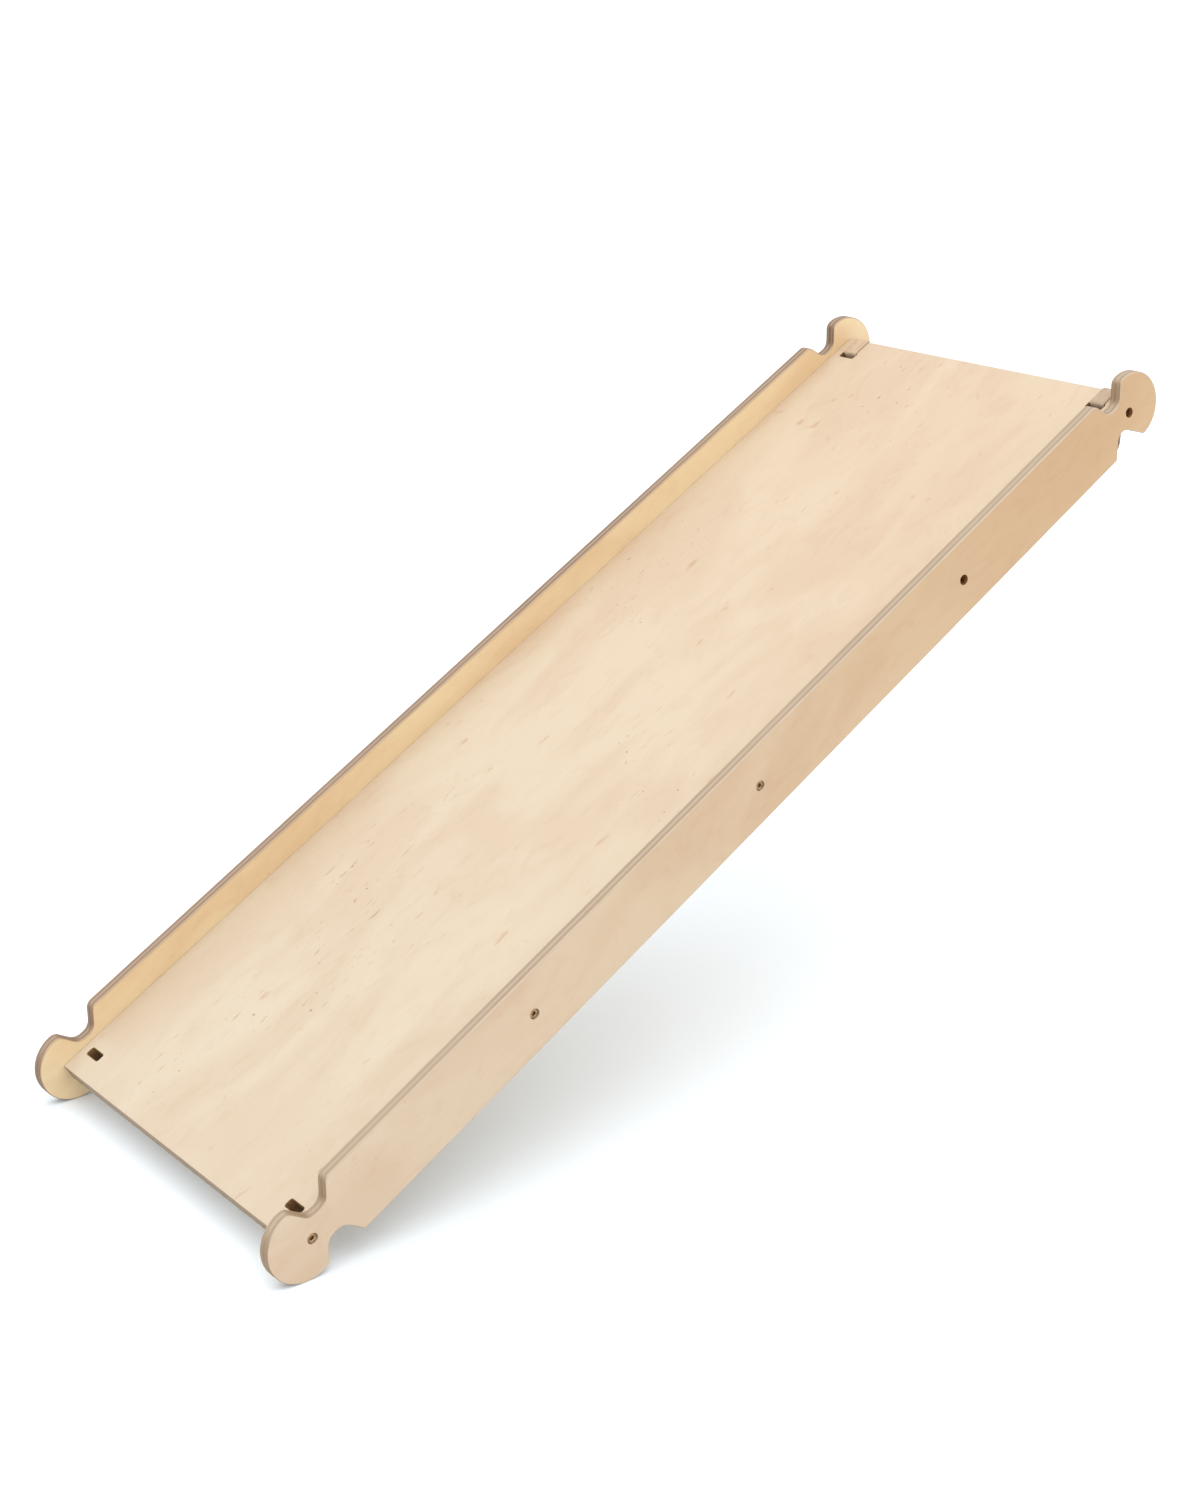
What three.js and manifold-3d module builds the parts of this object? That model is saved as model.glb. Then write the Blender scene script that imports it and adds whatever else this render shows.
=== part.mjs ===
// A toddler's slide of birch plywood, set up for use: its lower end stands on the floor and
// its upper end hangs over a round rung.
//
// Two long side rails carry one flat sliding panel between them. Each rail ends in a round
// knob at both ends, with a notch above and below it, and the lower notch of the upper end
// is the hook that sits over the rung. Five furniture screws go through each rail into the
// edge of the panel. The panel has a slot near each corner, and a soft strap runs through
// each of the two upper slots and round the rung, so that the slide can't be lifted off.
//
// Units are millimetres. The slide is built level, in a group of its own, with X across it,
// Y up the slope and Z out of the panel, all from the slide's middle. That group is then
// tilted, so that the middle of the rung's axis is the origin and Z points up.

import * as THREE from 'three';
import { mergeVertices } from 'three/addons/utils/BufferGeometryUtils.js';
import Module from 'manifold-3d';

const wasm = await Module();
wasm.setup();

// ---- driving dimensions ----

const SLOPE = THREE.MathUtils.degToRad(30);
const GAP = 0.3; // between two pieces that touch

const RAIL_LENGTH = 1180; // from knob to knob
const RAIL_HEIGHT = 69;
const RAIL_THICKNESS = 12;
const RAIL_CHAMFER = 1.2;
const KNOB_RADIUS = RAIL_HEIGHT / 2;
const KNOB_CENTRE = RAIL_LENGTH / 2 - KNOB_RADIUS;

const PANEL_LENGTH = 1128;
const PANEL_THICKNESS = 18;
const PANEL_TOP = 7.5; // above the middle of the rails
const PANEL_BOTTOM = PANEL_TOP - PANEL_THICKNESS;
const PANEL_MIDDLE = PANEL_TOP - PANEL_THICKNESS / 2;
const PANEL_END_RADIUS = 0.6;
const INNER_WIDTH = 395; // between the two rails

const SLOT_LENGTH = 20.4; // across the slide
const SLOT_WIDTH = 8;
const SLOT_CORNER = 2;
const SLOT_FROM_END = 25.5; // centre of the slot to the end of the panel
const SLOT_FROM_RAIL = 21; // centre of the slot to the rail's inner face

// Where each screw is along the rail, and how far its head is below the rail's face.
const SCREWS = [
  { along: -548, recess: 1.2 },
  { along: -290, recess: 1.2 },
  { along: 0, recess: 1.2 },
  { along: 290, recess: 3.5 },
  { along: 548, recess: 3.5 },
];
const SCREW_HEAD_RADIUS = 4.5;
const SCREW_HEAD_HEIGHT = 3;
const SCREW_SHANK_RADIUS = 3.3;
const SCREW_LENGTH = 48;
const SOCKET_RADIUS = 2.2; // to the corners of the hexagon
const SOCKET_DEPTH = 2.2;

const RUNG_RADIUS = 15; // the rung that the hook is made for
const STRAP_WIDTH = 17.8;
const STRAP_THICKNESS = 1.5;

// Each notch is a trapezoid with rounded corners. The mouth is given as two distances from
// the end of the panel, on the knob's side and on the rail's side, and walls lean outwards.
const LEANING_WALL = THREE.MathUtils.degToRad(60);
const HOOK_KNOB_WALL = THREE.MathUtils.degToRad(45);
const TOP_NOTCH = {
  knobSide: 13, railSide: 53, depth: 20.5, knobWall: LEANING_WALL,
  knobCorner: 9, railCorner: 9, floorCorner: 12,
};
const FOOT_NOTCH = {
  knobSide: 14, railSide: 54, depth: 20.5, knobWall: LEANING_WALL,
  knobCorner: 9, railCorner: 3, floorCorner: 12,
};
const HOOK_NOTCH = {
  knobSide: 7, railSide: 51, depth: 21, knobWall: HOOK_KNOB_WALL,
  knobCorner: 3, railCorner: 2.5, floorCorner: 10,
};

const KNOB_SEGMENTS = 24;
const CORNER_SEGMENTS = 5;
const ROUND_SEGMENTS = 16;

// ---- materials ----

const railPlywood = new THREE.MeshStandardMaterial({
  name: 'rail_plywood', color: 0xdcc09a, roughness: 0.55, metalness: 0,
});
const panelPlywood = new THREE.MeshStandardMaterial({
  name: 'panel_plywood', color: 0xe9d5b8, roughness: 0.5, metalness: 0,
});
const screwMetal = new THREE.MeshStandardMaterial({
  name: 'screw_metal', color: 0x6e6152, roughness: 0.4, metalness: 0.9,
});
const strapWebbing = new THREE.MeshStandardMaterial({
  name: 'strap_webbing', color: 0xc8b298, roughness: 0.95, metalness: 0,
});

// ---- geometry helpers ----

// A three.js geometry as a solid that can be joined and cut.
function toSolid(geometry) {
  const bare = geometry.clone();
  bare.deleteAttribute('normal');
  bare.deleteAttribute('uv');
  const merged = mergeVertices(bare, 1e-4);
  const corners = merged.index.array;
  const triangles = [];
  for (let i = 0; i < corners.length; i += 3) {
    const [a, b, c] = [corners[i], corners[i + 1], corners[i + 2]];
    if (a !== b && b !== c && c !== a) triangles.push(a, b, c);
  }
  return new wasm.Manifold(new wasm.Mesh({
    numProp: 3,
    vertProperties: new Float32Array(merged.attributes.position.array),
    triVerts: new Uint32Array(triangles),
  }));
}

// A solid as a three.js geometry.
function toGeometry(solid) {
  const mesh = solid.getMesh();
  const geometry = new THREE.BufferGeometry();
  geometry.setAttribute('position', new THREE.BufferAttribute(mesh.vertProperties, 3));
  geometry.setIndex(new THREE.BufferAttribute(mesh.triVerts, 1));
  const faceted = geometry.toNonIndexed();
  faceted.computeVertexNormals();
  return faceted;
}

// The points of the arc that rounds one corner of an outline.
function roundCorner(before, corner, after, radius) {
  const back = before.clone().sub(corner).normalize();
  const ahead = after.clone().sub(corner).normalize();
  const half = Math.acos(THREE.MathUtils.clamp(back.dot(ahead), -1, 1)) / 2;
  const towardsCentre = back.clone().add(ahead).normalize();
  const centre = corner.clone().addScaledVector(towardsCentre, radius / Math.sin(half));
  const start = corner.clone().addScaledVector(back, radius / Math.tan(half)).sub(centre);
  const turn = Math.PI - 2 * half;
  const side = Math.sign(back.cross(ahead));
  const points = [];
  for (let i = 0; i <= CORNER_SEGMENTS; i++) {
    const swung = start.clone().rotateAround(new THREE.Vector2(), -side * turn * i / CORNER_SEGMENTS);
    points.push(centre.clone().add(swung));
  }
  return points;
}

// A closed outline from its corners. A corner is [u, v] or [u, v, radius].
function outline(corners) {
  const at = (i) => {
    const [u, v] = corners[(i + corners.length) % corners.length];
    return new THREE.Vector2(u, v);
  };
  return corners.flatMap(([, , radius = 0], i) =>
    (radius > 0 ? roundCorner(at(i - 1), at(i), at(i + 1), radius) : [at(i)]));
}

// A shape drawn in the slide's side view (Y across, Z up), made solid along X and centred
// on X = 0.
function extrudeAlongX(shape, thickness, chamfer = 0) {
  const geometry = new THREE.ExtrudeGeometry(shape, {
    depth: thickness - 2 * chamfer,
    bevelEnabled: chamfer > 0,
    bevelThickness: chamfer,
    bevelSize: chamfer,
    bevelOffset: -chamfer,
    bevelSegments: 1,
  });
  geometry.translate(0, 0, chamfer - thickness / 2);
  const sideways = new THREE.Matrix4().makeBasis(
    new THREE.Vector3(0, 1, 0), new THREE.Vector3(0, 0, 1), new THREE.Vector3(1, 0, 0));
  return geometry.applyMatrix4(sideways);
}

// A round solid along X from its profile, a list of [x, radius].
function turnAlongX(profile, segments = ROUND_SEGMENTS) {
  const points = profile.map(([x, radius]) => new THREE.Vector2(radius, x));
  return new THREE.LatheGeometry(points, segments).rotateZ(-Math.PI / 2);
}

// ---- rail ----

// The corners of a notch in a long edge of the rail, from the rail's side to the knob's
// side. end is +1 at the upper end and -1 at the lower end, edge is +1 for the top edge.
function notchCorners(notch, end, edge) {
  const place = (fromEnd, depth, radius) =>
    [end * (PANEL_LENGTH / 2 - fromEnd), edge * (RAIL_HEIGHT / 2 - depth), radius];
  const railLean = notch.depth / Math.tan(LEANING_WALL);
  const knobLean = notch.depth / Math.tan(notch.knobWall);
  return [
    place(notch.railSide, 0, notch.railCorner),
    place(notch.railSide - railLean, notch.depth, notch.floorCorner),
    place(notch.knobSide + knobLean, notch.depth, notch.floorCorner),
    place(notch.knobSide, 0, notch.knobCorner),
  ];
}

// The round end of the rail, from startAngle to endAngle in degrees.
function knobCorners(end, startAngle, endAngle) {
  const corners = [];
  for (let i = 0; i <= KNOB_SEGMENTS; i++) {
    const angle = THREE.MathUtils.degToRad(
      THREE.MathUtils.lerp(startAngle, endAngle, i / KNOB_SEGMENTS));
    corners.push([
      end * KNOB_CENTRE + KNOB_RADIUS * Math.cos(angle),
      KNOB_RADIUS * Math.sin(angle),
    ]);
  }
  return corners;
}

function railOutline() {
  return outline([
    ...notchCorners(TOP_NOTCH, -1, 1),
    ...knobCorners(-1, 97.5, 262.5),
    ...notchCorners(FOOT_NOTCH, -1, -1).reverse(),
    ...notchCorners(HOOK_NOTCH, 1, -1),
    ...knobCorners(1, -82.5, 82.5),
    ...notchCorners(TOP_NOTCH, 1, 1).reverse(),
  ]);
}

// The stepped hole for one screw, a gap wider than the screw all round, in a rail on one
// side whose outer face is at x = side * outerFace.
function screwHole(side, outerFace, { along, recess }) {
  const overshoot = 1;
  const shoulder = recess + SCREW_HEAD_HEIGHT + GAP;
  const head = SCREW_HEAD_RADIUS + GAP;
  const shank = SCREW_SHANK_RADIUS + GAP;
  const tip = recess + SCREW_LENGTH + GAP;
  const hole = turnAlongX([
    [-overshoot, 0], [-overshoot, head], [shoulder, head], [shoulder, shank], [tip, shank], [tip, 0],
  ]);
  if (side > 0) hole.rotateY(Math.PI);
  return toSolid(hole.translate(side * outerFace, along, PANEL_MIDDLE));
}

// The right-hand rail is as modelled; the left-hand one is its mirror image.
function makeRail(side) {
  const slab = extrudeAlongX(new THREE.Shape(railOutline()), RAIL_THICKNESS, RAIL_CHAMFER);
  let rail = toSolid(slab);
  for (const screw of SCREWS) {
    rail = rail.subtract(screwHole(side, RAIL_THICKNESS / 2, screw));
  }
  const mesh = new THREE.Mesh(toGeometry(rail), railPlywood);
  mesh.name = side > 0 ? 'rail_right' : 'rail_left';
  mesh.position.x = side * (INNER_WIDTH + RAIL_THICKNESS) / 2;
  return mesh;
}

// ---- panel ----

// A rounded rectangle in the panel's plane, made solid right through the panel.
function slotCutter(x, y) {
  const [u, v] = [SLOT_LENGTH / 2, SLOT_WIDTH / 2];
  const corners = [[-u, -v], [u, -v], [u, v], [-u, v]].map(([a, b]) => [a, b, SLOT_CORNER]);
  const cutter = new THREE.ExtrudeGeometry(new THREE.Shape(outline(corners)), {
    depth: 2 * PANEL_THICKNESS, bevelEnabled: false,
  });
  return toSolid(cutter.translate(x, y, PANEL_MIDDLE - PANEL_THICKNESS));
}

function makePanel() {
  const end = PANEL_LENGTH / 2;
  const section = [
    [-end, PANEL_BOTTOM], [end, PANEL_BOTTOM], [end, PANEL_TOP], [-end, PANEL_TOP],
  ].map(([y, z]) => [y, z, PANEL_END_RADIUS]);
  const board = extrudeAlongX(new THREE.Shape(outline(section)), INNER_WIDTH - 2 * GAP);
  let panel = toSolid(board);
  for (const side of [-1, 1]) {
    for (const end of [-1, 1]) {
      const x = side * (INNER_WIDTH / 2 - SLOT_FROM_RAIL);
      const y = end * (PANEL_LENGTH / 2 - SLOT_FROM_END);
      panel = panel.subtract(slotCutter(x, y));
    }
    for (const screw of SCREWS) {
      panel = panel.subtract(screwHole(side, INNER_WIDTH / 2 + RAIL_THICKNESS, screw));
    }
  }
  const mesh = new THREE.Mesh(toGeometry(panel), panelPlywood);
  mesh.name = 'slide_panel';
  return mesh;
}

// ---- screws ----

// A furniture screw with a flat cylinder head and a hexagon socket. Its head's face is at
// x = 0 and its shank runs towards +X.
function makeScrew(side, { along, recess }, number) {
  const point = 2.5;
  const body = toSolid(turnAlongX([
    [0, 0], [0, SCREW_HEAD_RADIUS - 0.5], [0.5, SCREW_HEAD_RADIUS],
    [SCREW_HEAD_HEIGHT, SCREW_HEAD_RADIUS], [SCREW_HEAD_HEIGHT, SCREW_SHANK_RADIUS],
    [SCREW_LENGTH - point, SCREW_SHANK_RADIUS], [SCREW_LENGTH, 1.5], [SCREW_LENGTH, 0],
  ]));
  const socket = new THREE.CylinderGeometry(SOCKET_RADIUS, SOCKET_RADIUS, 2 * SOCKET_DEPTH, 6);
  const screw = body.subtract(toSolid(socket.rotateZ(Math.PI / 2)));
  const mesh = new THREE.Mesh(toGeometry(screw), screwMetal);
  mesh.name = `rail_screw_${side > 0 ? 'right' : 'left'}_${number}`;
  if (side > 0) mesh.rotation.y = Math.PI;
  mesh.position.set(
    side * (INNER_WIDTH / 2 + RAIL_THICKNESS - recess), along, PANEL_MIDDLE);
  return mesh;
}

// ---- rung and straps ----

// The middle of the rung, in the level slide's Y and Z, where it touches both leaning walls
// of the hook. A wall that leans by an angle keeps the rung's centre radius / sin(angle)
// away from it, measured along the slide.
function rungCentre() {
  const railReach = RUNG_RADIUS / Math.sin(LEANING_WALL);
  const knobReach = RUNG_RADIUS / Math.sin(HOOK_KNOB_WALL);
  const railSlope = 1 / Math.tan(LEANING_WALL);
  const knobSlope = 1 / Math.tan(HOOK_KNOB_WALL);
  const mouth = HOOK_NOTCH.railSide - HOOK_NOTCH.knobSide;
  const depth = (mouth - railReach - knobReach) / (railSlope + knobSlope);
  const fromEnd = HOOK_NOTCH.knobSide + knobSlope * depth + knobReach;
  return new THREE.Vector2(PANEL_LENGTH / 2 - fromEnd, depth - RAIL_HEIGHT / 2);
}

// The angle, seen from a circle's centre, at which a line from a point outside touches it.
function tangentAngle(centre, radius, point, turn) {
  const out = point.clone().sub(centre);
  return out.angle() + turn * Math.acos(radius / out.length());
}

// The middle line of a strap, once round: up through the slot, over the end of the panel,
// down to the rung, under it and back up to the slot.
function strapPath() {
  const half = STRAP_THICKNESS / 2 + GAP;
  const rung = rungCentre();
  const reach = RUNG_RADIUS + half;
  const inSlot = PANEL_LENGTH / 2 - SLOT_FROM_END + SLOT_WIDTH / 2 - half;
  const pastEnd = PANEL_LENGTH / 2 + half;
  const [above, below] = [PANEL_TOP + half, PANEL_BOTTOM];
  const leave = tangentAngle(rung, reach, new THREE.Vector2(pastEnd, below), -1);
  const arrive = tangentAngle(rung, reach, new THREE.Vector2(inSlot, below), 1);
  const wrap = leave - (arrive - 2 * Math.PI);
  const steps = 20;
  const roundRung = [];
  for (let i = 0; i <= steps; i++) {
    const angle = leave - THREE.MathUtils.euclideanModulo(wrap, 2 * Math.PI) * i / steps;
    roundRung.push([rung.x + reach * Math.cos(angle), rung.y + reach * Math.sin(angle)]);
  }
  return outline([
    [inSlot, above, half], [pastEnd, above, half + PANEL_END_RADIUS], [pastEnd, below, 6],
    ...roundRung,
    [inSlot, below, 5],
  ]);
}

// A closed line moved sideways by a distance, outwards where it is positive.
function offsetLine(points, distance) {
  return points.map((point, i) => {
    const before = points[(i + points.length - 1) % points.length];
    const after = points[(i + 1) % points.length];
    const along = after.clone().sub(before).normalize();
    return new THREE.Vector2(point.x - along.y * distance, point.y + along.x * distance);
  });
}

function makeStrap(side) {
  const path = strapPath();
  const shape = new THREE.Shape(offsetLine(path, STRAP_THICKNESS / 2));
  shape.holes.push(new THREE.Path(offsetLine(path, -STRAP_THICKNESS / 2).reverse()));
  const band = toSolid(extrudeAlongX(shape, STRAP_WIDTH));
  const mesh = new THREE.Mesh(toGeometry(band), strapWebbing);
  mesh.name = side > 0 ? 'strap_right' : 'strap_left';
  mesh.position.x = side * (INNER_WIDTH / 2 - SLOT_FROM_RAIL);
  return mesh;
}

// ---- the slide ----

function makeSlide() {
  const tilted = new THREE.Group();
  tilted.add(makePanel());
  for (const side of [-1, 1]) {
    tilted.add(makeRail(side), makeStrap(side));
    SCREWS.forEach((screw, index) => tilted.add(makeScrew(side, screw, index + 1)));
  }
  const rung = rungCentre();
  tilted.rotation.x = SLOPE;
  tilted.position.copy(new THREE.Vector3(0, -rung.x, -rung.y).applyEuler(tilted.rotation));

  const slide = new THREE.Group();
  slide.add(tilted);
  return slide;
}

export default makeSlide();
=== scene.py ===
"""A toddler's plywood slide, set up on its lower knobs with its hooks over the place of a rung.

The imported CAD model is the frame. Each of its nodes is stood for here by a more detailed
piece: rails and panel of layered birch plywood, socket-head furniture screws, and webbing
straps. Pieces are modelled level, in metres, with X across the slide, Y up the slope and Z
out of the panel, all from the slide's middle, and LEVEL_TO_WORLD then tilts them into place.
"""

import math

import bmesh
import bpy
from mathutils import Euler, Matrix, Vector


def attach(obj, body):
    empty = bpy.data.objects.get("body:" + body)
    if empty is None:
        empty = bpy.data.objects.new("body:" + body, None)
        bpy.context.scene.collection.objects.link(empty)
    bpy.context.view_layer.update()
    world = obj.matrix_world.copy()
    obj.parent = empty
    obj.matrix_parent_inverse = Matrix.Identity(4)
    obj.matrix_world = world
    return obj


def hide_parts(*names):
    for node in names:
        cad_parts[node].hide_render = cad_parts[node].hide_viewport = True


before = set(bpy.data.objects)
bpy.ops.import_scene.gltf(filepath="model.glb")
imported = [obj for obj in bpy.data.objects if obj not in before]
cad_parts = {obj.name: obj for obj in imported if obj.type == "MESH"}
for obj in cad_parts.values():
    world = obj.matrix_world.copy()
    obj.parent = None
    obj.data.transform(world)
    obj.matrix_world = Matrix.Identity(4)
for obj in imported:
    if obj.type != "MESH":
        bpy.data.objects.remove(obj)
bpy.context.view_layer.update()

MM = 0.001

# ---- the slide's dimensions, as in the CAD model ----

SLOPE = math.radians(30)
GAP = 0.3 * MM  # between two pieces that touch

RAIL_HEIGHT = 69 * MM
RAIL_LENGTH = 1180 * MM
RAIL_THICKNESS = 12 * MM
KNOB_RADIUS = RAIL_HEIGHT / 2
KNOB_CENTRE = RAIL_LENGTH / 2 - KNOB_RADIUS

PANEL_LENGTH = 1128 * MM
PANEL_THICKNESS = 18 * MM
PANEL_TOP = 7.5 * MM  # above the middle of the rails
PANEL_BOTTOM = PANEL_TOP - PANEL_THICKNESS
PANEL_MIDDLE = (PANEL_TOP + PANEL_BOTTOM) / 2
INNER_WIDTH = 395 * MM
OUTER_FACE = INNER_WIDTH / 2 + RAIL_THICKNESS  # from the slide's middle to a rail's face

SLOT_LENGTH = 20.4 * MM
SLOT_WIDTH = 8 * MM
SLOT_CORNER = 2 * MM
SLOT_FROM_END = 25.5 * MM
SLOT_FROM_RAIL = 21 * MM

# Where each screw is along the slide, and how far its head lies below the rail's face.
SCREWS = [(-548 * MM, 1.2 * MM), (-290 * MM, 1.2 * MM), (0.0, 1.2 * MM),
          (290 * MM, 3.5 * MM), (548 * MM, 3.5 * MM)]
SCREW_HEAD_RADIUS = 4.5 * MM
SCREW_HEAD_HEIGHT = 3 * MM
SCREW_SHANK_RADIUS = 3.3 * MM
SCREW_LENGTH = 48 * MM
SOCKET_RADIUS = 2.2 * MM
SOCKET_DEPTH = 2.2 * MM
SOCKET_CHAMFER = 0.25 * MM

RUNG_RADIUS = 15 * MM
RUNG_CENTRE = Vector((532.3213 * MM, -31.0345 * MM))  # along the slide, and out of it
STRAP_WIDTH = 17.8 * MM
STRAP_THICKNESS = 1.5 * MM

FLOOR = -551.5 * MM

LEVEL_TO_WORLD = (Matrix.Rotation(SLOPE, 4, "X")
                  @ Matrix.Translation((0, -RUNG_CENTRE.x, -RUNG_CENTRE.y)))

# The mouth of each notch is given as two distances from the end of the panel, on the knob's
# side and on the rail's side. Its walls lean outwards by the two angles.
LEANING_WALL = math.radians(60)
TOP_NOTCH = dict(knob_side=13 * MM, rail_side=53 * MM, depth=20.5 * MM, knob_wall=LEANING_WALL,
                 knob_corner=9 * MM, rail_corner=9 * MM, floor_corner=12 * MM)
FOOT_NOTCH = dict(knob_side=14 * MM, rail_side=54 * MM, depth=20.5 * MM, knob_wall=LEANING_WALL,
                  knob_corner=9 * MM, rail_corner=3 * MM, floor_corner=12 * MM)
HOOK_NOTCH = dict(knob_side=7 * MM, rail_side=51 * MM, depth=21 * MM,
                  knob_wall=math.radians(45),
                  knob_corner=3 * MM, rail_corner=2.5 * MM, floor_corner=10 * MM)

# ---- finer detail than the CAD model has ----

ARRIS_RADIUS = 1.0 * MM  # rounded edge of a rail's face
PANEL_ARRIS = 0.5 * MM
SLOT_RIM = 0.7 * MM  # rounded edge of a slot
HOLE_RIM = 0.3 * MM  # and of a screw hole
HEAD_RIM = 0.3 * MM  # and of a screw's head
ARRIS_STEPS = 4
KNOB_STEPS = 56
CORNER_STEPS = 12
HOLE_STEPS = 32
RUNG_STEPS = 60
KNOB_ARC = 82.5  # degrees of a knob's round on either side of its outermost point

PLY = 3 * MM  # one glued layer of the plywood, whose two face layers are half as thick

DEEP = 2 * MM  # a screw recessed further than this gets darker hole walls and a darker head, painted shade of its deep hole
THREAD_PITCH = 2.2 * MM
THREAD_DEPTH = 0.8 * MM
STEPS_IN_A_TURN = 6  # of the thread
STRAP_STEP = 1.0 * MM  # along the webbing
STRAP_EDGE_RADIUS = 0.6 * MM
BEND_BELOW_END = 6 * MM  # where a strap leaves the panel's end
BEND_BELOW_SLOT = 5 * MM  # and where it comes back up to the slot

FACE, EDGE, BORED, INSIDE = 0, 1, 2, 3  # material slots of a board


# ---- outlines ----

def round_corner(before, corner, after, radius, steps=CORNER_STEPS):
    """The points of the arc that rounds one corner of an outline."""
    back = (before - corner).normalized()
    ahead = (after - corner).normalized()
    half = back.angle(ahead) / 2
    centre = corner + (back + ahead).normalized() * (radius / math.sin(half))
    start = corner + back * (radius / math.tan(half)) - centre
    turn = -math.copysign(math.pi - 2 * half, back.x * ahead.y - back.y * ahead.x)
    return [centre + Matrix.Rotation(turn * i / steps, 2) @ start for i in range(steps + 1)]


def outline(corners):
    """A closed outline from its corners, each (u, v) or (u, v, radius)."""
    spots = [Vector(corner[:2]) for corner in corners]
    points = []
    for i, corner in enumerate(corners):
        if len(corner) > 2 and corner[2] > 0:
            after = spots[(i + 1) % len(spots)]
            points += round_corner(spots[i - 1], spots[i], after, corner[2])
        else:
            points.append(spots[i])
    return points


def offset(points, distance):
    """A closed outline moved to its left-hand side by a distance, point by point."""
    moved = []
    for i, point in enumerate(points):
        back = (point - points[i - 1]).normalized()
        ahead = (points[(i + 1) % len(points)] - point).normalized()
        along = (back + ahead).normalized()
        reach = distance / max(along.dot(ahead), 0.5)
        moved.append(point + Vector((-along.y, along.x)) * reach)
    return moved


def circle(centre, radius, steps=HOLE_STEPS):
    turn = 2 * math.pi / steps
    return [centre + Vector((math.cos(i * turn), math.sin(i * turn))) * radius
            for i in range(steps)]


def rounded_rectangle(half_u, half_v, radius):
    return outline([(-half_u, -half_v, radius), (half_u, -half_v, radius),
                    (half_u, half_v, radius), (-half_u, half_v, radius)])


def arris(radius):
    """(depth below the face, distance in from the side) along a rounded edge."""
    steps = []
    for i in range(ARRIS_STEPS + 1):
        angle = math.pi / 2 * i / ARRIS_STEPS
        steps.append((radius * (1 - math.cos(angle)), radius * (1 - math.sin(angle))))
    return steps


# ---- meshes ----

def add_ring(bm, points):
    return [bm.verts.new(point) for point in points]


def bridge(bm, first, second, material=EDGE, smooth=True):
    """Quads between two rings with the same number of points."""
    for i in range(len(first)):
        face = bm.faces.new((first[i - 1], first[i], second[i], second[i - 1]))
        face.material_index = material
        face.smooth = smooth


def bridge_all(bm, rings, material=EDGE):
    for first, second in zip(rings, rings[1:]):
        bridge(bm, first, second, material)


def cap(bm, rings, normal, material=FACE):
    """A flat face with holes: the first ring is its outline, the others are the holes. Its
    border stays a crease, so that the flat face is shaded flat."""
    edges = []
    for ring in rings:
        for i in range(len(ring)):
            edge = bm.edges.get((ring[i - 1], ring[i])) or bm.edges.new((ring[i - 1], ring[i]))
            edge.smooth = False
            edges.append(edge)
    filled = bmesh.ops.triangle_fill(bm, edges=edges, use_beauty=True, normal=normal)
    for face in filled["geom"]:
        if isinstance(face, bmesh.types.BMFace):
            face.material_index = material


def make_piece(name, bm, materials, nodes):
    """An object from a finished mesh, tilted into place, riding on the slide."""
    bmesh.ops.recalc_face_normals(bm, faces=bm.faces)
    bm.transform(LEVEL_TO_WORLD)
    mesh = bpy.data.meshes.new(name)
    bm.to_mesh(mesh)
    bm.free()
    for material in materials:
        mesh.materials.append(material)
    piece = bpy.data.objects.new(name, mesh)
    bpy.context.scene.collection.objects.link(piece)
    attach(piece, "root")
    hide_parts(*nodes)
    return piece


# ---- rail ----

def notch_corners(notch, end, edge):
    """The corners of a notch in a long edge of the rail, from the rail's side to the knob's.
    end is 1 at the upper end and -1 at the lower one, and edge is 1 for the top edge."""
    def place(from_end, depth, radius):
        return (end * (PANEL_LENGTH / 2 - from_end), edge * (RAIL_HEIGHT / 2 - depth), radius)

    rail_lean = notch["depth"] / math.tan(LEANING_WALL)
    knob_lean = notch["depth"] / math.tan(notch["knob_wall"])
    return [
        place(notch["rail_side"], 0, notch["rail_corner"]),
        place(notch["rail_side"] - rail_lean, notch["depth"], notch["floor_corner"]),
        place(notch["knob_side"] + knob_lean, notch["depth"], notch["floor_corner"]),
        place(notch["knob_side"], 0, notch["knob_corner"]),
    ]


def knob_corners(end, start, stop):
    """Points round a knob, from one angle to another in degrees."""
    corners = []
    for i in range(KNOB_STEPS + 1):
        angle = math.radians(start + (stop - start) * i / KNOB_STEPS)
        corners.append((end * KNOB_CENTRE + KNOB_RADIUS * math.cos(angle),
                        KNOB_RADIUS * math.sin(angle)))
    return corners


def rail_outline():
    return outline([
        *notch_corners(TOP_NOTCH, -1, 1),
        *knob_corners(-1, 180 - KNOB_ARC, 180 + KNOB_ARC),
        *reversed(notch_corners(FOOT_NOTCH, -1, -1)),
        *notch_corners(HOOK_NOTCH, 1, -1),
        *knob_corners(1, -KNOB_ARC, KNOB_ARC),
        *reversed(notch_corners(TOP_NOTCH, 1, 1)),
    ])


def screw_hole(bm, along, recess, place):
    """The stepped hole for a screw through a rail. place(point, depth) puts an outline's
    point at a depth below the rail's face. Returns the rings on the two faces."""
    centre = Vector((along, PANEL_MIDDLE))
    head = SCREW_HEAD_RADIUS + GAP
    shank = SCREW_SHANK_RADIUS + GAP
    shoulder = recess + SCREW_HEAD_HEIGHT + GAP
    rim = [(depth, head + back) for depth, back in arris(HOLE_RIM)]
    levels = rim + [(shoulder, head), (shoulder, shank), (RAIL_THICKNESS, shank)]
    rings = [add_ring(bm, [place(point, depth) for point in circle(centre, radius)])
             for depth, radius in levels]
    # a deep hole gets the darker bore wall: painted shade inside it
    bridge_all(bm, rings, EDGE if recess < DEEP else BORED)
    return rings[0], rings[-1]


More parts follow.
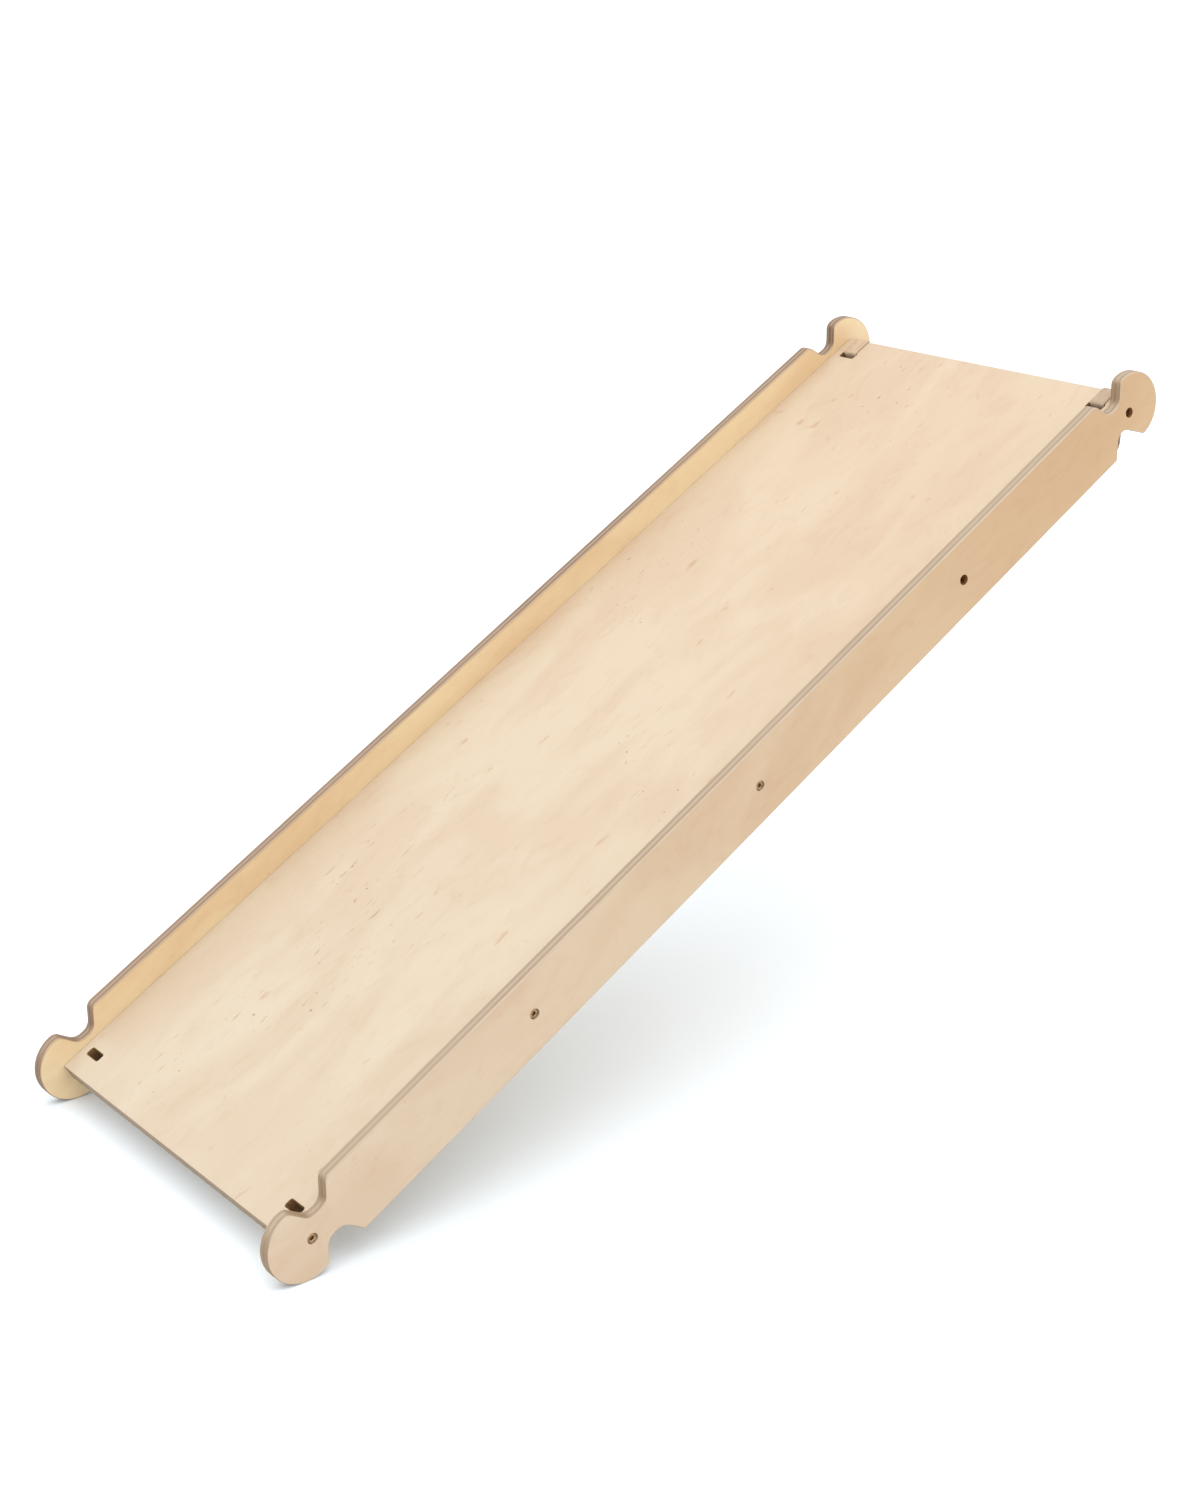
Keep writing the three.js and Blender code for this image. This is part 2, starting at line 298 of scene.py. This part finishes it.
def make_rail(side, materials):
    """side is 1 for the right-hand rail and -1 for the left-hand one."""
    def place(point, depth):
        return (side * (OUTER_FACE - depth), point.x, point.y)

    bm = bmesh.new()
    silhouette = rail_outline()
    near = arris(ARRIS_RADIUS)
    levels = near + [(RAIL_THICKNESS - depth, inset) for depth, inset in reversed(near)]
    rings = [add_ring(bm, [place(point, depth) for point in offset(silhouette, inset)])
             for depth, inset in levels]
    bridge_all(bm, rings)
    holes = [screw_hole(bm, along, recess, place) for along, recess in SCREWS]
    outward = Vector((side, 0, 0))
    cap(bm, [rings[0]] + [outer for outer, _ in holes], outward)
    cap(bm, [rings[-1]] + [inner for _, inner in holes], -outward, INSIDE)
    name = "right" if side > 0 else "left"
    return make_piece(f"rail_board_{name}", bm, materials, [f"rail_{name}"])


# ---- panel ----

def panel_levels(radius):
    """(height, distance in from the side) down the panel's edge, rounded at both faces."""
    rim = arris(radius)
    return ([(PANEL_TOP - depth, inset) for depth, inset in rim]
            + [(PANEL_BOTTOM + depth, inset) for depth, inset in reversed(rim)])


def shank_pocket(bm, side, along, recess):
    """The blind hole in the panel's side for a screw's shank. Returns its open ring."""
    shape = circle(Vector((along, PANEL_MIDDLE)), SCREW_SHANK_RADIUS + GAP)
    mouth = INNER_WIDTH / 2 - GAP
    bottom = OUTER_FACE - recess - SCREW_LENGTH - GAP
    rings = [add_ring(bm, [(side * x, p.x, p.y) for p in shape]) for x in (mouth, bottom)]
    bridge_all(bm, rings, BORED)
    cap(bm, [rings[1]], Vector((side, 0, 0)), BORED)
    return rings[0]


def slot_rings(bm, x, y):
    """A slot right through the panel, with rounded rims. Returns its top and bottom ring."""
    rings = []
    for height, out in panel_levels(SLOT_RIM):
        shape = rounded_rectangle(SLOT_LENGTH / 2 + out, SLOT_WIDTH / 2 + out, SLOT_CORNER + out)
        rings.append(add_ring(bm, [(x + u, y + v, height) for u, v in shape]))
    # the slot's walls take the darker bore wall: painted shade inside the slot
    bridge_all(bm, rings, BORED)
    return rings[0], rings[-1]


def make_panel(materials):
    bm = bmesh.new()
    half_width = INNER_WIDTH / 2 - GAP
    half_length = PANEL_LENGTH / 2
    rings = []
    for height, inset in panel_levels(PANEL_ARRIS):
        across = half_width - inset / 5  # the sides lie against the rails, so less is taken off
        along = half_length - inset
        shape = [(-across, -along), (across, -along), (across, along), (-across, along)]
        rings.append(add_ring(bm, [(u, v, height) for u, v in shape]))
    middle = len(rings) // 2
    bridge_all(bm, rings[:middle])
    bridge_all(bm, rings[middle:])
    upper, lower = rings[middle - 1], rings[middle]
    # side is 1 or -1 for the side at that rail, and 0 for an end of the panel.
    for first, second, side in ((0, 1, 0), (1, 2, 1), (2, 3, 0), (3, 0, -1)):
        border = [upper[first], upper[second], lower[second], lower[first]]
        pockets = [shank_pocket(bm, side, *screw) for screw in SCREWS] if side else []
        cap(bm, [border] + pockets, Vector((side, 0, 0)), EDGE)
    slots = [slot_rings(bm, side * (INNER_WIDTH / 2 - SLOT_FROM_RAIL),
                        end * (PANEL_LENGTH / 2 - SLOT_FROM_END))
             for side in (-1, 1) for end in (-1, 1)]
    up = Vector((0, 0, 1))
    cap(bm, [rings[0]] + [rim for rim, _ in slots], up)
    cap(bm, [rings[-1]] + [rim for _, rim in slots], -up)
    return make_piece("panel_board", bm, materials, ["slide_panel"])


# ---- screws ----

def make_screw(side, index, material):
    """A socket-head furniture screw with a helical thread. Its face is towards the rail's
    outside and its shank runs into the panel."""
    along, recess = SCREWS[index]
    face_at = OUTER_FACE - recess
    centre = Vector((along, PANEL_MIDDLE))

    def ring(depth, points):
        return add_ring(bm, [(side * (face_at - depth), p.x, p.y) for p in points])

    bm = bmesh.new()
    rim = [ring(depth, circle(centre, SCREW_HEAD_RADIUS - inset))
           for depth, inset in arris(HEAD_RIM)]
    under = [ring(SCREW_HEAD_HEIGHT, circle(centre, radius))
             for radius in (SCREW_HEAD_RADIUS, SCREW_SHANK_RADIUS - THREAD_DEPTH / 2)]
    turns = (SCREW_LENGTH - SCREW_HEAD_HEIGHT) / THREAD_PITCH
    steps = round(turns * STEPS_IN_A_TURN)
    shank = []
    for i in range(1, steps + 1):
        depth = SCREW_HEAD_HEIGHT + (SCREW_LENGTH - SCREW_HEAD_HEIGHT) * i / steps
        taper = min(1, (steps - i) / 8 + 0.45)  # narrower over the last few steps
        points = []
        for j, spot in enumerate(circle(Vector((0, 0)), 1.0)):
            phase = (depth / THREAD_PITCH - j / HOLE_STEPS) % 1
            crest = 1 - abs(2 * phase - 1)
            radius = SCREW_SHANK_RADIUS - THREAD_DEPTH * (1 - crest)
            points.append(centre + spot * radius * taper)
        shank.append(ring(depth, points))
    bridge_all(bm, rim + under + shank, FACE)
    outward = Vector((side, 0, 0))
    socket = [ring(depth, circle(centre, radius, 6))
              for depth, radius in ((0, SOCKET_RADIUS + SOCKET_CHAMFER),
                                    (SOCKET_CHAMFER, SOCKET_RADIUS),
                                    (SOCKET_DEPTH, SOCKET_RADIUS))]
    for first, second in zip(socket, socket[1:]):
        bridge(bm, first, second, FACE, smooth=False)
    cap(bm, [rim[0], socket[0]], outward)
    cap(bm, [socket[-1]], outward)
    cap(bm, [shank[-1]], -outward)
    name = f"{'right' if side > 0 else 'left'}_{index + 1}"
    return make_piece(f"screw_{name}", bm, [material], [f"rail_screw_{name}"])


# ---- straps ----

def tangent_angle(centre, radius, point, turn):
    """The angle, from a circle's centre, at which a line from a point outside touches it."""
    out = point - centre
    return math.atan2(out.y, out.x) + turn * math.acos(radius / out.length)


def strap_path():
    """The middle line of a strap, once round: up through the slot, over the end of the
    panel, down to the rung's place, under it and back up to the slot."""
    half = STRAP_THICKNESS / 2 + GAP
    reach = RUNG_RADIUS + half
    in_slot = PANEL_LENGTH / 2 - SLOT_FROM_END + SLOT_WIDTH / 2 - half
    past_end = PANEL_LENGTH / 2 + half
    above, below = PANEL_TOP + half, PANEL_BOTTOM
    leave = tangent_angle(RUNG_CENTRE, reach, Vector((past_end, below)), -1)
    arrive = tangent_angle(RUNG_CENTRE, reach, Vector((in_slot, below)), 1)
    wrap = (leave - arrive) % (2 * math.pi)
    round_rung = []
    for i in range(RUNG_STEPS + 1):
        angle = leave - wrap * i / RUNG_STEPS
        round_rung.append((RUNG_CENTRE.x + reach * math.cos(angle),
                           RUNG_CENTRE.y + reach * math.sin(angle)))
    return outline([
        (in_slot, above, half), (past_end, above, half + PANEL_ARRIS),
        (past_end, below, BEND_BELOW_END), *round_rung, (in_slot, below, BEND_BELOW_SLOT),
    ])


def even_steps(points, step):
    """A closed line again, as evenly spaced points about one step apart."""
    lengths = [(points[(i + 1) % len(points)] - points[i]).length for i in range(len(points))]
    count = round(sum(lengths) / step)
    spacing = sum(lengths) / count
    even = []
    i = 0
    walked = 0.0
    for n in range(count):
        while walked + lengths[i] < n * spacing:
            walked += lengths[i]
            i += 1
        part = (n * spacing - walked) / lengths[i]
        even.append(points[i].lerp(points[(i + 1) % len(points)], part))
    return even


def make_strap(side, material):
    """A closed band of webbing. Its UV map runs across and along it, in strap widths."""
    path = even_steps(strap_path(), STRAP_STEP)
    section = rounded_rectangle(STRAP_WIDTH / 2, STRAP_THICKNESS / 2, STRAP_EDGE_RADIUS)
    middle = side * (INNER_WIDTH / 2 - SLOT_FROM_RAIL)
    bm = bmesh.new()
    across_along = bm.loops.layers.uv.new("across_along")
    rings = []
    for i, point in enumerate(path):
        along = (path[(i + 1) % len(path)] - path[i - 1]).normalized()
        out = Vector((-along.y, along.x))
        rings.append(add_ring(bm, [(middle + u, *(point + out * v)) for u, v in section]))
    for i, ring in enumerate(rings):
        following = rings[(i + 1) % len(rings)]
        for j in range(len(section)):
            face = bm.faces.new((ring[j - 1], ring[j], following[j], following[j - 1]))
            face.smooth = True
            for loop, (row, column) in zip(face.loops, ((i, j - 1), (i, j), (i + 1, j),
                                                        (i + 1, j - 1))):
                u = section[column].x / STRAP_WIDTH
                loop[across_along].uv = (u, row * STRAP_STEP / STRAP_WIDTH)
    name = "right" if side > 0 else "left"
    return make_piece(f"webbing_{name}", bm, [material], [f"strap_{name}"])


# ---- material nodes ----

def linear(red, green, blue):
    """A colour given as 0 to 255 screen values, in the linear values that nodes take."""
    def channel(value):
        value /= 255
        return value / 12.92 if value <= 0.04045 else ((value + 0.055) / 1.055) ** 2.4

    return (channel(red), channel(green), channel(blue), 1.0)


def add_node(tree, kind, inputs, **settings):
    node = tree.nodes.new("ShaderNode" + kind)
    for name, value in settings.items():
        setattr(node, name, value)
    for key, value in inputs.items():
        if isinstance(value, bpy.types.NodeSocket):
            tree.links.new(value, node.inputs[key])
        else:
            node.inputs[key].default_value = value
    return node


def maths(tree, operation, first, second=0.0, clamp=False):
    node = add_node(tree, "Math", {0: first, 1: second}, operation=operation, use_clamp=clamp)
    return node.outputs[0]


def stretched(tree, vector, scale, shift=(0, 0, 0)):
    return add_node(tree, "Mapping", {
        "Vector": vector, "Scale": scale, "Location": shift}).outputs[0]


def noise(tree, vector, scale, detail=2.0, roughness=0.5, distortion=0.0):
    """Noise with a cell of about 1 / scale metres along each axis."""
    return add_node(tree, "TexNoise", {
        "Vector": stretched(tree, vector, scale), "Scale": 1.0, "Detail": detail,
        "Roughness": roughness, "Distortion": distortion}).outputs[0]


def fade(tree, value, start, stop, low=0.0, high=1.0):
    """Goes smoothly from low to high as value goes from start to stop."""
    return add_node(tree, "MapRange", {
        "Value": value, "From Min": start, "From Max": stop, "To Min": low, "To Max": high},
        interpolation_type="SMOOTHSTEP").outputs[0]


def mix(tree, amount, low, high, blend="MIX"):
    """Two colours mixed by an amount from 0 to 1."""
    node = add_node(tree, "Mix", {0: amount, 6: low, 7: high}, data_type="RGBA", blend_type=blend)
    return node.outputs[2]


def new_material(name, **constants):
    """A material with a Principled shader, whose constant values are set on its sockets."""
    material = bpy.data.materials.new(name)
    material.use_nodes = True
    tree = material.node_tree
    shader = tree.nodes["Principled BSDF"]
    for socket, value in constants.items():
        shader.inputs[socket.replace("_", " ")].default_value = value
    return material, tree, shader


def bump(tree, shader, height, depth, strength=1.0):
    """Relief of a depth in metres."""
    node = add_node(tree, "Bump", {"Height": height, "Distance": depth, "Strength": strength})
    tree.links.new(node.outputs[0], shader.inputs["Normal"])


def place_on_slide(tree):
    """The level slide's own coordinates, in metres, with the tilt taken out."""
    world = add_node(tree, "TexCoord", {}).outputs["Object"]
    return add_node(tree, "Mapping", {
        "Vector": world, "Rotation": (-SLOPE, 0, 0),
        "Location": (0, RUNG_CENTRE.x, RUNG_CENTRE.y)}).outputs[0]


# ---- materials ----

def birch_face(name, low, high, inner, seed, mottle, flecked):
    """A sanded birch veneer with its grain along the slide, which goes from the colour low at
    the slide's lower end to high at its upper one, painted light and shade that change along
    the slide. inner is the tone of its figure, mottle the strength of its broad patches and
    flecked that of its small brown marks."""
    material, tree, shader = new_material(name, Roughness=0.5, Specular_IOR_Level=0.3)
    level = place_on_slide(tree)
    place = stretched(tree, level, (1, 1, 1), (seed, seed * 0.37, 0))
    along = add_node(tree, "SeparateXYZ", {0: level}).outputs[1]
    # painted light and shade: the colour goes from low to high along the slide
    colour = mix(tree, fade(tree, along, -RAIL_LENGTH / 2, RAIL_LENGTH / 2), low, high)

    cloud = noise(tree, place, (14, 5, 14), detail=2, distortion=0.8)
    colour = mix(tree, fade(tree, cloud, 0.35, 0.65, 0.0, mottle), colour, inner, "MULTIPLY")
    figure = noise(tree, place, (50, 22, 50), detail=3, roughness=0.55, distortion=1.4)
    colour = mix(tree, fade(tree, figure, 0.45, 0.8, 0.0, 0.10), colour, inner, "MULTIPLY")
    grain = noise(tree, place, (900, 60, 900), detail=3, roughness=0.6)
    colour = mix(tree, fade(tree, grain, 0.45, 0.8, 0.0, 0.06), colour, inner, "MULTIPLY")

    smudges = fade(tree, noise(tree, place, (90, 45, 90), detail=1), 0.70, 0.84, 0.0, flecked / 2)
    colour = mix(tree, smudges, colour, inner, "MULTIPLY")
    dashes = fade(tree, noise(tree, place, (320, 60, 320), detail=1, distortion=0.6), 0.70, 0.79)
    dots = fade(tree, noise(tree, place, (240, 190, 240), detail=0), 0.81, 0.86)
    patch = fade(tree, noise(tree, place, (7, 4, 7), detail=1), 0.5, 0.62, 0.0, flecked)
    flecks = maths(tree, "MULTIPLY", maths(tree, "MAXIMUM", dashes, dots), patch)
    colour = mix(tree, flecks, colour, linear(146, 104, 72))

    tree.links.new(colour, shader.inputs["Base Color"])
    tree.links.new(fade(tree, grain, 0.3, 0.8, 0.44, 0.58), shader.inputs["Roughness"])
    bump(tree, shader, grain, 0.04 * MM, 0.3)
    return material


def board_depth(tree, place, axis):
    """How deep a point lies in its board, from one face, and the board's thickness. The rails
    are measured along X (axis 0) and the panel along Z (axis 2)."""
    through = add_node(tree, "SeparateXYZ", {0: place}).outputs[axis]
    if axis == 0:
        from_face = maths(tree, "SUBTRACT", OUTER_FACE, maths(tree, "ABSOLUTE", through))
        return from_face, RAIL_THICKNESS
    return maths(tree, "SUBTRACT", through, PANEL_BOTTOM), PANEL_THICKNESS


def turned_across(tree):
    """0 on a cut that runs along the slide and 1 on one that faces up or down the slope."""
    facing = add_node(tree, "NewGeometry", {}).outputs["Normal"]
    slope_way = (0, math.cos(SLOPE), math.sin(SLOPE))
    facing_slope = add_node(tree, "VectorMath", {0: facing, 1: slope_way},
                            operation="DOT_PRODUCT").outputs["Value"]
    return fade(tree, maths(tree, "ABSOLUTE", facing_slope), 0.25, 0.85)


def plywood_edge(name, axis, skin, long_grain, end_grain, glue):
    """The cut edge of plywood, whose layers are stacked along an axis, 0 for X or 2 for Z.
    Every second layer shows its end grain on a cut along the slide, and the other layers
    show theirs where the cut turns across it. A cut that turns across it is also darker all
    over, partly from the tone of its end grain and partly from painted shade of the cuts that
    face down the slope. skin is the tone of the two face layers."""
    material, tree, shader = new_material(name, Roughness=0.68, Specular_IOR_Level=0.25)
    place = place_on_slide(tree)
    depth, thickness = board_depth(tree, place, axis)
    from_middle = maths(tree, "ABSOLUTE", maths(tree, "SUBTRACT", depth, thickness / 2))
    in_core = maths(tree, "LESS_THAN", from_middle, (thickness - PLY) / 2)
    wander = noise(tree, place, (30, 12, 30), detail=1)
    depth = maths(tree, "ADD", depth, fade(tree, wander, 0.2, 0.8, -0.1 * MM, 0.1 * MM))
    layer = maths(tree, "DIVIDE", maths(tree, "ADD", depth, PLY / 2), PLY)
    odd = maths(tree, "GREATER_THAN",
                maths(tree, "FRACT", maths(tree, "DIVIDE", layer, 2.0)), 0.5)
    turned = turned_across(tree)
    clear = fade(tree, noise(tree, place, (5, 4, 5), detail=0), 0.4, 0.6, 0.75, 1.0)
    ends_here = maths(tree, "ABSOLUTE", maths(tree, "SUBTRACT", odd, turned))
    ends_here = maths(tree, "MULTIPLY", ends_here, clear)

    streaks = noise(tree, place, (500, 26, 500), detail=2, roughness=0.6)
    pores = noise(tree, place, (1300, 900, 1300), detail=1, roughness=0.6)
    pale = mix(tree, in_core, skin, long_grain)
    side_cut = mix(tree, fade(tree, streaks, 0.35, 0.7, 0.0, 0.3), pale, end_grain)
    end_cut = mix(tree, fade(tree, pores, 0.45, 0.7, 0.0, 0.25), end_grain, glue)
    colour = mix(tree, ends_here, side_cut, end_cut)

    cross = maths(tree, "PINGPONG", layer, 1.0)
    from_glue = maths(tree, "MINIMUM", cross, maths(tree, "SUBTRACT", 1.0, cross))
    line = fade(tree, from_glue, 0.02, 0.07, 1.0, 0.0)
    broken = noise(tree, place, (150, 18, 150), detail=2)
    line = maths(tree, "MULTIPLY", line, fade(tree, broken, 0.42, 0.62, 0.05, 0.5))
    colour = mix(tree, maths(tree, "MULTIPLY", line, clear), colour, glue)
    # darker all over where the cut turns across the slide: end-grain tone together with painted
    # shade of the cuts facing down the slope
    colour = mix(tree, maths(tree, "MULTIPLY", turned, 0.7), colour, linear(200, 180, 156),
                 "MULTIPLY")
    tree.links.new(colour, shader.inputs["Base Color"])
    relief = maths(tree, "SUBTRACT", maths(tree, "MULTIPLY", pores, 0.4), line)
    bump(tree, shader, relief, 0.08 * MM, 0.4)
    return material


def bore_wall_painted_shade(name, pale, dark):
    """The wall of a drilled hole or a milled slot: end grain, painted darker for the shade that
    falls inside it.
    """
    material, tree, shader = new_material(name, Roughness=0.8, Specular_IOR_Level=0.15)
    place = place_on_slide(tree)
    fibres = noise(tree, place, (1500, 1500, 700), detail=2)
    colour = mix(tree, fade(tree, fibres, 0.35, 0.7), pale, dark)
    tree.links.new(colour, shader.inputs["Base Color"])
    bump(tree, shader, fibres, 0.1 * MM, 0.5)
    return material


def screw_metal(name, dark, worn):
    """Bronzed steel, finely turned, with wear on the face."""
    material, tree, shader = new_material(name, Metallic=1.0, Roughness=0.35)
    place = place_on_slide(tree)
    speckle = noise(tree, place, (2500, 2500, 2500), detail=3, roughness=0.6)
    cloud = noise(tree, place, (400, 400, 400), detail=2)
    colour = mix(tree, fade(tree, cloud, 0.35, 0.7), dark, worn)
    colour = mix(tree, fade(tree, speckle, 0.5, 0.8, 0.0, 0.35), colour, dark, "MULTIPLY")
    tree.links.new(colour, shader.inputs["Base Color"])
    tree.links.new(fade(tree, speckle, 0.3, 0.7, 0.32, 0.5), shader.inputs["Roughness"])
    bump(tree, shader, speckle, 0.03 * MM, 0.4)
    return material


def webbing(name, pale, tone_and_shade):
    """Plain-woven cotton webbing, with warp ribs along it and finer weft across. The grooves
    between the ribs are darkened with painted shade.
    """
    material, tree, shader = new_material(
        name, Roughness=0.9, Specular_IOR_Level=0.15, Sheen_Weight=0.15, Sheen_Roughness=0.5)
    warp_ribs = 15  # in one strap width
    weft_threads = 22  # in the same length along the strap
    uv = add_node(tree, "UVMap", {}, uv_map="across_along").outputs[0]
    parts = add_node(tree, "SeparateXYZ", {0: uv})
    across = maths(tree, "MULTIPLY", parts.outputs[0], warp_ribs * math.pi)
    along = maths(tree, "MULTIPLY", parts.outputs[1], weft_threads * math.pi)
    over = maths(tree, "MULTIPLY", maths(tree, "SINE", across), maths(tree, "SINE", along))
    rib = maths(tree, "ABSOLUTE", maths(tree, "SINE", across))
    height = maths(tree, "ADD", maths(tree, "MULTIPLY", over, 0.5), rib)
    place = place_on_slide(tree)
    fuzz = noise(tree, place, (1800, 1800, 1800), detail=3, roughness=0.7)
    blotch = noise(tree, place, (90, 60, 90), detail=2)
    colour = mix(tree, fade(tree, blotch, 0.35, 0.7, 0.0, 0.5), pale, tone_and_shade)
    # the grooves between the ribs are darkened: painted shade of the weave
    colour = mix(tree, fade(tree, height, 0.7, 0.0, 0.0, 0.6), colour, tone_and_shade, "MULTIPLY")
    colour = mix(tree, fade(tree, fuzz, 0.45, 0.75, 0.0, 0.3), colour, pale)
    tree.links.new(colour, shader.inputs["Base Color"])
    bump(tree, shader, maths(tree, "ADD", height, fuzz), 0.1 * MM, 0.7)
    return material


def floor_material():
    material, tree, shader = new_material("pale_floor", Roughness=0.9, Specular_IOR_Level=0.1)
    place = add_node(tree, "TexCoord", {}).outputs["Object"]
    tone = noise(tree, place, (2, 2, 2), detail=2)
    colour = mix(tree, fade(tree, tone, 0.3, 0.7), linear(238, 245, 251), linear(240, 247, 253))
    tree.links.new(colour, shader.inputs["Base Color"])
    return material


# ---- studio ----

def make_camera():
    """A camera fitted to the photograph. Its optical axis is taken to lie a little to the
    right of the picture's middle and above it, which the shift makes up for."""
    data = bpy.data.cameras.new("camera")
    data.sensor_width = 36.0
    data.lens = 58.532
    data.shift_x = -0.0667
    data.shift_y = -0.0667
    camera = bpy.data.objects.new("camera", data)
    camera.location = (1.7347, -1.8198, 0.5215)
    camera.rotation_euler = Euler([math.radians(a) for a in (72.6323, -0.0545, 50.1425)])
    bpy.context.scene.collection.objects.link(camera)
    bpy.context.scene.camera = camera


def make_floor():
    bm = bmesh.new()
    bmesh.ops.create_grid(bm, x_segments=8, y_segments=8, size=40)
    mesh = bpy.data.meshes.new("floor")
    bm.to_mesh(mesh)
    bm.free()
    mesh.materials.append(floor_material())
    floor = bpy.data.objects.new("floor", mesh)
    floor.location.z = FLOOR
    bpy.context.scene.collection.objects.link(floor)


def make_world(ambient):
    """White all round for the camera, and an even ambient light for everything else."""
    world = bpy.data.worlds.new("studio")
    world.use_nodes = True
    bpy.context.scene.world = world
    tree = world.node_tree
    seen = add_node(tree, "LightPath", {}).outputs["Is Camera Ray"]
    strength = add_node(tree, "MapRange", {"Value": seen, "To Min": ambient, "To Max": 1.0})
    tree.links.new(strength.outputs[0], tree.nodes["Background"].inputs["Strength"])
    tree.nodes["Background"].inputs["Color"].default_value = (1, 1, 1, 1)


def soft_sun(name, towards_light, spread, strength):
    """A lamp as far away as a sun, but as wide as a studio ceiling, so that the floor is lit
    evenly and shadows are soft."""
    data = bpy.data.lights.new(name, "SUN")
    data.angle = math.radians(spread)
    data.energy = strength
    light = bpy.data.objects.new(name, data)
    light.rotation_euler = Vector(towards_light).to_track_quat("Z", "Y").to_euler()
    bpy.context.scene.collection.objects.link(light)


def make_lights():
    """A pale room that is bright all over, with one wide soft light above."""
    make_world(1.3)
    soft_sun("ceiling", (0.4, -0.15, 0.9), 45, 0.8)
    bpy.context.scene.view_settings.view_transform = "Standard"


# ---- the scene ----

def make_slide():
    brown = linear(214, 160, 118)
    outside = birch_face("rail_outside_birch", linear(197, 177, 152), linear(190, 159, 122),
                         brown, seed=3.0, mottle=0.15, flecked=0.15)
    # the inside faces are lighter and warmer than the outside ones: painted bounce light from the
    # panel
    inside_painted_bounce = birch_face("rail_inside_birch_painted_bounce", linear(221, 199, 160), linear(223, 200, 161),
                        brown, seed=5.0, mottle=0.22, flecked=0.1)
    near_edge = plywood_edge("right_rail_edge", 0, linear(188, 170, 148), linear(176, 158, 137),
                             linear(162, 142, 120), linear(124, 101, 79))
    far_edge = plywood_edge("left_rail_edge", 0, linear(182, 158, 130), linear(164, 142, 120),
                            linear(134, 111, 94), linear(96, 74, 58))
    top = birch_face("panel_birch", linear(200, 186, 164), linear(202, 183, 158),
                     brown, seed=8.0, mottle=0.14, flecked=0.65)
    panel_edge = plywood_edge("panel_edge", 2, linear(190, 175, 156), linear(180, 165, 147),
                              linear(160, 145, 127), linear(118, 100, 84))
    # slot walls painted darker than the end grain: painted shade inside the slots
    slot_wall_shade = bore_wall_painted_shade("slot_wall_birch_painted_shade", linear(136, 106, 70), linear(98, 73, 45))
    # walls of the deep screw holes painted darker still: painted shade inside them
    hole_wall_shade = bore_wall_painted_shade("hole_wall_birch_painted_shade", linear(128, 88, 52), linear(102, 68, 38))
    bronze = screw_metal("bronzed_steel", linear(140, 112, 82), linear(178, 148, 112))
    # the same steel painted darker for the deep screws: painted shade of their holes
    shaded_steel = screw_metal("steel_painted_shade", linear(98, 64, 34), linear(128, 90, 52))
    make_panel([top, panel_edge, slot_wall_shade])
    for side, edge, colour in ((-1, far_edge, linear(208, 183, 154)),
                               (1, near_edge, linear(188, 170, 148))):
        make_rail(side, [outside, edge, hole_wall_shade, inside_painted_bounce])
        name = "right" if side > 0 else "left"
        make_strap(side, webbing(f"cotton_webbing_{name}", colour, linear(168, 146, 120)))
        for index, (_, recess) in enumerate(SCREWS):
            # a deep screw gets the darker steel: painted shade of its hole
            make_screw(side, index, bronze if recess < DEEP else shaded_steel)


make_camera()
make_slide()
make_floor()
make_lights()
